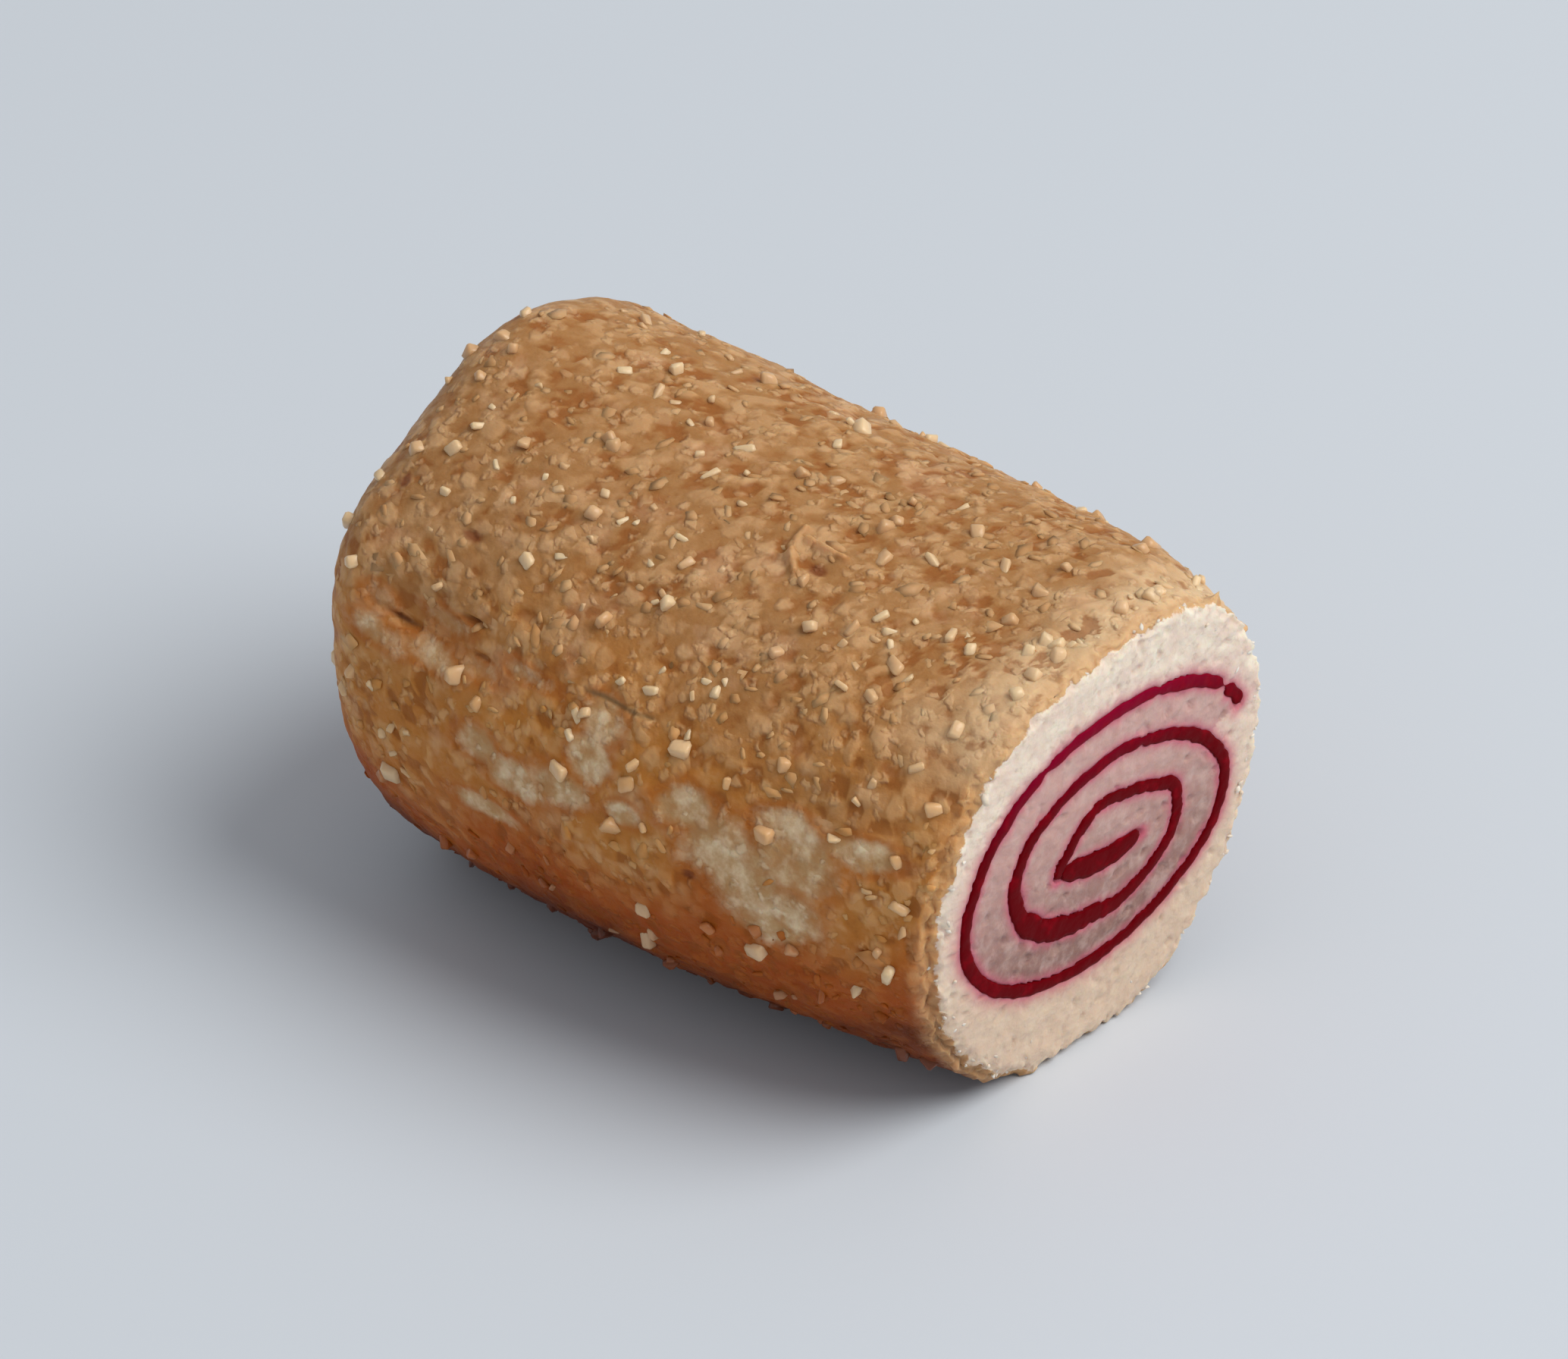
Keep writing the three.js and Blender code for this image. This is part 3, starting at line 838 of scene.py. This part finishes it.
def strewn(weights, kind, taken=()):
    """Crystals of one kind, strewn by the weights, largest first, and flat but for a tilt."""
    sizes = np.sort(chance.triangular(*kind["sizes"]))[::-1]
    crystals = []
    for spot, normal, size in draw_places(weights, sizes, kind["spacing"], taken):
        flat = Vector(normal).to_track_quat("Z", "Y") @ Euler((0, 0, chance.uniform(0, TURN))).to_quaternion()
        turn = flat @ Euler((*chance.uniform(-kind["tilt"], kind["tilt"], 2), 0)).to_quaternion()
        sides = size * chance.uniform(kind["least"], kind["most"])
        middle = spot - normal * chance.uniform(*kind["sink"]) * size
        crystals.append((middle, sides, np.array(turn.to_matrix()), size))
    return crystals


# %% The sugar that melted into the glaze, and the grains that stayed bright
# The sizes are the least, the usual and the largest, in millimetres, and how many there are.
# The spacing, the sink and the sides are shares of the size.
GLAZED = {"sizes": (0.16, 0.26, 0.54, 1200), "spacing": 0.6, "sink": (0.08, 0.15),
          "least": (0.8, 0.45, 0.26), "most": (1.5, 0.9, 0.4), "tilt": 0.2}
BRIGHT = {"sizes": (0.14, 0.18, 0.3, 160), "spacing": 0.9, "sink": (0.0, 0.2),
          "least": (0.9, 0.5, 0.5), "most": (1.7, 0.8, 0.8), "tilt": 0.8}
CRUMBS = {"sizes": (0.06, 0.1, 0.22, 110), "spacing": 0.9, "sink": (0.15, 0.35),
          "least": (0.85, 0.55, 0.5), "most": (1.7, 1.0, 0.8), "tilt": 0.6}
GATHERING = 0.55  # waves of the bright grains' patches to a millimetre

off_ground = soft_step(centres[:, 2], 0.15, 0.9)
off_white = soft_step(0.5 - at_faces("bare"), 0.2, 0.7)
towards_end = soft_step(behind_cut, 11.5, 16.2)
off_marks = (1 - np.clip(2 * at_faces("burnt_and_slit_shade"), 0, 1)) * (1 - 0.9 * at_faces("shade"))
off_worn = 1 - 0.97 * soft_step(at_faces("worn"), 0.3, 0.6)

sugared = off_ground * off_white * off_marks
glazed_weights = sugared * off_worn * (1 - 0.5 * towards_end)
glazed_sugar = joined_crystals("glazed_sugar", MELTED_LUMPS, strewn(glazed_weights, GLAZED))


def patchy(places):
    """Noise at many places at once."""
    return np.array([noise.noise(Vector(place) * GATHERING) for place in places])


gathered = 0.1 + soft_step(patchy(centres), -0.15, 0.4)
bright_weights = sugared * gathered * (1 - 0.85 * towards_end) * off_worn
large_places = [(middle, size) for middle, _, _, size in LARGE_GRAINS]
bright_crystals = LARGE_GRAINS + strewn(bright_weights, BRIGHT, large_places)
middles = np.array([middle for middle, _, _, _ in bright_crystals])
clusters = np.clip(0.55 + 1.3 * patchy(middles), 0, 1)
above_shade = soft_step(middles[:, 2], 1.5, 4)
bright_tones = clusters * above_shade * chance.uniform(0, 1, len(bright_crystals)) ** 0.7
bright_sugar = joined_crystals("bright_sugar", WORN_BLOCKS, bright_crystals, bright_tones)

# %% [markdown]
# ## Crumbs
#
# The knife left white crumbs along the rim and a few on the cut. They are small lumps too,
# but chalky and not clear, so they are a piece of their own.

# %% White crumbs along the torn rim
from_middle = np.hypot(centres[:, 1] / HALF_WIDTH["cut"],
                       (centres[:, 2] - CUT_MIDDLE_Z) / HALF_HEIGHT["cut"])
on_cut = (behind_cut < 0.1) & (normals[:, 0] > 0.7)
on_edge = np.exp(-((0.5 - at_faces("bare")) / 0.07) ** 2)
crumb_weights = np.where(on_cut, 0.25 * soft_step(from_middle, 0.8, 0.98), on_edge)
crumb_weights *= soft_step(centres[:, 2], 0.1, 0.4)
rim_crumbs = joined_crystals("rim_crumbs", MELTED_LUMPS, strewn(crumb_weights, CRUMBS))

# %% [markdown]
# ## Finishes
#
# Clay lets light in a little way, so every finish scatters some under its surface. Colours
# come from noise at the scale of the real mottling, in millimetres on the object, and from
# the attributes that the relief left on the points.

# %% Helpers for the finishes


def srgb(red, green, blue):
    """A colour as it is seen, from 0 to 255, as the linear light that a shader works in."""
    def linear(value):
        value /= 255
        return value / 12.92 if value <= 0.04045 else ((value + 0.055) / 1.055) ** 2.4
    return (linear(red), linear(green), linear(blue), 1)


COLOURS = {name: srgb(*seen) for name, seen in {
    "between flakes": (150, 80, 20), "worn": (196, 152, 102), "worn through": (242, 218, 180),
    "round worn": (184, 102, 36), "burnt_and_slit_shade": (126, 60, 28), "scratch_shade": (140, 108, 70),
    "skin at the cut": (212, 168, 120), "rim": (236, 214, 196), "rim light": (246, 232, 212),
    "rim low, tan and in painted shade": (214, 184, 156), "turns": (206, 164, 156), "turns in painted shade": (140, 104, 95),
    "turns light": (214, 184, 174), "pores": (176, 146, 132), "stain": (200, 92, 116),
    "jam": (100, 0, 8), "jam high": (138, 2, 42), "jam streak": (150, 6, 26),
    "clear sugar": (234, 202, 160), "chalk": (232, 208, 186), "chalk light": (248, 236, 220),
    "paper": (210, 217, 226)}.items()}


class Finish:
    """A material whose nodes are added one call at a time."""

    def __init__(self, name):
        self.material = bpy.data.materials.new(name)
        self.material.use_nodes = True
        self.nodes = self.material.node_tree.nodes
        self.links = self.material.node_tree.links
        self.shader = self.nodes["Principled BSDF"]
        place = self.nodes.new("ShaderNodeTexCoord").outputs["Object"]
        self.place = self.add("VectorMath", {"operation": "SCALE"}, {0: place, "Scale": 1 / MM})

    def set(self, socket, value):
        if isinstance(value, bpy.types.NodeSocket):
            self.links.new(value, socket)
        else:
            socket.default_value = value

    def add(self, kind, settings, inputs, output=0):
        node = self.nodes.new("ShaderNode" + kind)
        for name, value in settings.items():
            setattr(node, name, value)
        for name, value in inputs.items():
            self.set(node.inputs[name], value)
        return node.outputs[output]

    def noise(self, scale, detail=2.0, roughness=0.5):
        """Noise from 0 to 1, with so many waves to a millimetre."""
        return self.add("TexNoise", {}, {"Vector": self.place, "Scale": scale, "Detail": detail,
                                         "Roughness": roughness})

    def cells(self, scale, warp):
        """A random tone for each small cell, and how far from its middle a point lies."""
        drift = self.add("TexNoise", {}, {"Vector": self.place, "Scale": scale}, "Color")
        moved = self.add("VectorMath", {"operation": "MULTIPLY_ADD"},
                         {0: drift, 1: (warp, warp, warp), 2: self.place})
        tone = self.add("TexVoronoi", {}, {"Vector": moved, "Scale": scale}, "Color")
        return tone, tone.node.outputs["Distance"]

    def attribute(self, name):
        return self.add("Attribute", {"attribute_name": name}, {}, "Fac")

    def math(self, operation, first, second):
        return self.add("Math", {"operation": operation}, {0: first, 1: second})

    def times(self, first, second):
        return self.math("MULTIPLY", first, second)

    def height(self):
        return self.add("SeparateXYZ", {}, {0: self.place}, "Z")

    def frayed(self, value, grain, spread):
        """A value moved by noise that swings evenly to both sides, by about half its spread."""
        return self.math("ADD", value, self.times(self.math("SUBTRACT", grain, 0.5), spread))

    def between(self, value, start, end, low=0.0, high=1.0):
        """Low before start, high after end, and smooth between them."""
        return self.add("MapRange", {"interpolation_type": "SMOOTHSTEP"},
                        {"Value": value, "From Min": start, "From Max": end,
                         "To Min": low, "To Max": high})

    def layered(self, colour, *layers):
        """A colour under others, each laid on by its share. Any can be a name in COLOURS."""
        for share, over in layers:
            inputs = {0: share, 6: COLOURS.get(colour, colour), 7: COLOURS.get(over, over)}
            colour = self.add("Mix", {"data_type": "RGBA"}, inputs, 2)
        return colour

    def bump(self, height, distance, normal=None):
        """Dents too fine for the mesh, so many millimetres deep."""
        inputs = {"Height": height, "Distance": distance * MM, "Strength": 1.0}
        if normal is not None:
            inputs["Normal"] = normal
        return self.add("Bump", {}, inputs)

    def finish(self, pieces, colour, **shader_values):
        """Sets the shader's values and gives the material to the pieces."""
        self.set(self.shader.inputs["Base Color"], colour)
        for name, value in shader_values.items():
            self.set(self.shader.inputs[name.replace("_", " ")], value)
        for piece in pieces:
            piece.data.materials.append(self.material)


def scatter(weight, depth, radius):
    """Light that goes in: how much of it, how many millimetres, and which colours."""
    return {"Subsurface_Weight": weight, "Subsurface_Scale": depth * MM, "Subsurface_Radius": radius}


# %% How the browning changes over the roll, with painted shade low down
SUGARY = (242, 203, 160)
# The low and foot colours are partly browning and partly painted shade and a painted warm reflection from
# below.
BROWNS = {"top": (172, 123, 74), "side": (196, 126, 52), "low": (170, 76, 2), "foot_with_painted_shade": (88, 30, 0),
          "by_cut": (228, 194, 152), "film": (208, 160, 120)}


def behind_the_cut(finish):
    """How many millimetres a point lies behind the leaning cut."""
    along = finish.add("VectorMath", {"operation": "DOT_PRODUCT"},
                       {0: finish.place, 1: (-1, CUT_SLOPE_ACROSS, CUT_SLOPE_UP)}, "Value")
    return finish.math("ADD", along, CUT_X - CUT_SLOPE_UP * CUT_MIDDLE_Z)


def browning_with_painted_shade(finish, sugared):
    """Tan on top, warmer at the sides, deep orange low down with painted shade, and paler beside the cut."""
    def tint(name, share=1):
        pairs = zip(BROWNS[name], SUGARY)
        return srgb(*(brown + share * sugared * (pale - brown) for brown, pale in pairs))
    level = finish.frayed(finish.height(), finish.noise(0.3, 3), 5)
    behind = finish.frayed(behind_the_cut(finish), finish.noise(0.8, 3), 2.5)
    pale = finish.times(finish.between(level, 6.5, 9.5), finish.between(behind, 2.4, 0.3))
    cloudy = finish.between(finish.noise(0.7, 4, 0.6), 0.54, 0.66)
    film = finish.times(finish.between(level, 4, 6.8), cloudy)
    return finish.layered(
        tint("top"),
        (finish.between(level, 9.6, 6.4), tint("side")),
        (finish.between(level, 6.4, 3.4), tint("low", 0.3)),
        (finish.between(level, 4.2, 1.2), tint("foot_with_painted_shade", 0.12)),
        (finish.times(pale, 0.9), tint("by_cut")),
        (finish.times(film, 0.45), tint("film")))


# %% The clay: browned skin outside, white crumb inside
clay = Finish("browned_clay")
bare_edge = clay.frayed(clay.attribute("bare"), clay.noise(2.6, 5, 0.7), 0.5)
is_skin = clay.between(bare_edge, 0.53, 0.47)
speckle = clay.noise(3.4, 4, 0.6)


def flecks(scale, warp):
    """Soft pale spots where sugar melted, so many to a millimetre, from 0 to 1."""
    tone, off_middle = clay.cells(scale, warp)
    return clay.times(clay.between(tone, 0.42, 0.72), clay.between(off_middle, 0.62, 0.2))


crust = clay.math("MAXIMUM", flecks(2.3, 0.5), flecks(3.9, 0.35))
flake = clay.frayed(clay.attribute("flake"), speckle, 0.6)
worn = clay.frayed(clay.attribute("worn"), clay.noise(1.2, 3, 0.5), 0.6)
flaky = clay.math("ADD", clay.noise(1.8, 4, 0.6), clay.times(crust, 0.16))
still_brown = clay.between(speckle, 0.62, 0.4, high=0.25)
worn_share = clay.math("SUBTRACT", clay.between(worn, 0.3, 0.84), still_brown)
# Burnt specks are the clay's own colour; the same dark colour in the slits is painted shade.
burnt_and_slit_shade = clay.frayed(clay.attribute("burnt_and_slit_shade"), clay.noise(3, 4, 0.6), 0.6)
skin = clay.layered(
    browning_with_painted_shade(clay, 0),
    (clay.between(flake, 0.5, 0.2, high=0.6), "between flakes"),
    (clay.between(flake, 0.45, 0.85, high=0.8), browning_with_painted_shade(clay, 0.4)),
    (clay.times(crust, 0.75), browning_with_painted_shade(clay, 0.55)),
    (clay.between(worn, 0.2, 0.4, high=0.5), "round worn"),
    (worn_share, clay.layered("worn", (clay.between(flaky, 0.38, 0.76), "worn through"))),
    (clay.between(burnt_and_slit_shade, 0.3, 0.8, high=0.75), "burnt_and_slit_shade"),
    # The scratch's groove is painted darker: painted shade.
    (clay.times(clay.attribute("shade"), 0.75), "scratch_shade"),
    (clay.between(bare_edge, -0.1, 0.5, high=0.75), "skin at the cut"))

# Low on the cut the crumb is painted darker as painted shade, and the rim there is partly a tanner clay.
# Between the turns the crumb is greyish pink, partly jam stain and partly painted shade.
painted_shade_low_on_cut = clay.between(clay.height(), 7.5, 2)
rim = clay.layered(
    "rim",
    (clay.between(clay.noise(1.6, 4, 0.6), 0.35, 0.7), "rim light"),
    (clay.times(painted_shade_low_on_cut, 0.7), "rim low, tan and in painted shade"))
turns = clay.layered(
    "turns",
    (painted_shade_low_on_cut, "turns in painted shade"),
    (clay.between(clay.noise(2.2, 4, 0.6), 0.42, 0.7, high=0.5), "turns light"))
stain = clay.between(clay.frayed(clay.attribute("stain"), clay.noise(2, 4, 0.6), 0.5), 0.1, 1.0)
crumb = clay.layered(
    rim,
    (clay.attribute("inside"), turns),
    # The darker grey spots are painted shade of the crumb's pores.
    (clay.between(clay.noise(4.2, 4, 0.65), 0.5, 0.72, high=0.35), "pores"),
    (clay.times(stain, 0.85), "stain"))

grainy = clay.bump(clay.times(crust, is_skin), 0.04, clay.bump(clay.noise(6, 5, 0.6), 0.03))
clay.finish([cake_body], clay.layered(crumb, (is_skin, skin)), Normal=grainy,
            Roughness=clay.between(speckle, 0.3, 0.7, 0.58, 0.42), Specular_IOR_Level=0.15,
            **scatter(0.5, 0.3, (1.0, 0.55, 0.28)))

# %% The jam: deep crimson, and a little shinier where the knife smeared it
jam = Finish("crimson_clay")
# The jam is painted darker low on the cut and lighter high up: painted shade.
streaks = jam.noise(2.2, 3, 0.6)
jam_colour = jam.layered("jam", (jam.between(jam.height(), 6.2, 9), "jam high"),
                         (jam.between(streaks, 0.5, 0.75, high=0.5), "jam streak"))
jam.finish([jam_band, jam_heart], jam_colour, Normal=jam.bump(jam.noise(5, 4), 0.015),
           Roughness=jam.between(streaks, 0.3, 0.7, 0.4, 0.55), Specular_IOR_Level=0.02,
           **scatter(0.1, 0.1, (1.0, 0.1, 0.12)))

# %% The sugar: tan where it melted into the browning, pale where it didn't
glazed = Finish("glazed_sugar")
often_dull = glazed.math("POWER", glazed.attribute("tone"), 1.6)
glaze_tone = glazed.layered(browning_with_painted_shade(glazed, 0.2), (often_dull, browning_with_painted_shade(glazed, 0.55)))
glazed.finish([glazed_sugar], glaze_tone, Normal=glazed.bump(glazed.noise(7, 3), 0.012),
              Roughness=0.5, Specular_IOR_Level=0.15, **scatter(0.3, 0.2, (1.0, 0.6, 0.35)))

bright = Finish("bright_sugar")
clear = bright.between(bright.attribute("tone"), 0, 0.8)
bright_tone = bright.layered(browning_with_painted_shade(bright, 0.55), (clear, "clear sugar"))
bright.finish([bright_sugar], bright_tone, Normal=bright.bump(bright.noise(9, 3), 0.01),
              Roughness=0.3, Specular_IOR_Level=0.4, **scatter(0.3, 0.25, (1.0, 0.75, 0.5)))

chalky = Finish("white_crumbs")
chalk_tone = chalky.layered("chalk", (chalky.attribute("tone"), "chalk light"))
chalky.finish([rim_crumbs], chalk_tone, Normal=chalky.bump(chalky.noise(9, 3), 0.01),
              Roughness=0.6, Specular_IOR_Level=0.3, **scatter(0.4, 0.2, (1.0, 0.7, 0.5)))
print("finishes:", sorted(material.name for material in bpy.data.materials))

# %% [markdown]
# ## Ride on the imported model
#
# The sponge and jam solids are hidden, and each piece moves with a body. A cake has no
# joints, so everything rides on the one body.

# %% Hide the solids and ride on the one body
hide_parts("sponge")
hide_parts("jam")
for piece in (cake_body, glazed_sugar, bright_sugar, rim_crumbs):
    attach(piece, "root")
for piece in (jam_band, jam_heart):
    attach(piece, "root")

# %% [markdown]
# ## Floor, light and camera
#
# A pale cool floor, one broad soft light from the right and a dim sky give the gentle shadow
# of a window. Seen from ten times its length away, the roll narrows only a little.

# %% A plain pale floor
FLOOR_HALF = 900
floor_shape = bmesh.new()
bmesh.ops.create_grid(floor_shape, x_segments=1, y_segments=1, size=FLOOR_HALF)
floor = to_object("floor", floor_shape)
Finish("pale_paper").finish([floor], COLOURS["paper"], Roughness=0.7)

# %% Soft light
TARGET = Vector((0, 0, 5.55)) * MM
lamp = bpy.data.lights.new("window", "AREA")
lamp.shape = "DISK"
lamp.size = 0.3
lamp.energy = 1.2
lamp.color = (1.0, 0.985, 0.95)
window = in_scene("window", lamp)
window.location = (0.22, 0.1, 0.3)
window.rotation_euler = (TARGET - window.location).to_track_quat("-Z", "Y").to_euler()
scene = bpy.context.scene
scene.world = scene.world or bpy.data.worlds.new("sky")
scene.world.use_nodes = True
sky = scene.world.node_tree.nodes["Background"].inputs
sky["Color"].default_value = (0.96, 0.98, 1.0, 1)
sky["Strength"].default_value = 0.4
scene.view_settings.view_transform = "Standard"

# %% Camera
CAMERA_PLACE = Vector((90.16, -104.55, 103.93)) * MM
CAMERA_ROLL = math.radians(-2.01)
camera = in_scene("camera", bpy.data.cameras.new("camera"))
camera.data.lens = 196
camera.data.sensor_width = 36
camera.data.clip_start = 0.01
camera.data.clip_end = 5
turn = (TARGET - CAMERA_PLACE).to_track_quat("-Z", "Y") @ Euler((0, 0, CAMERA_ROLL)).to_quaternion()
camera.location = CAMERA_PLACE
camera.rotation_euler = turn.to_euler()
scene.camera = camera
print("the camera stands", round((TARGET - CAMERA_PLACE).length / MM), "mm away")
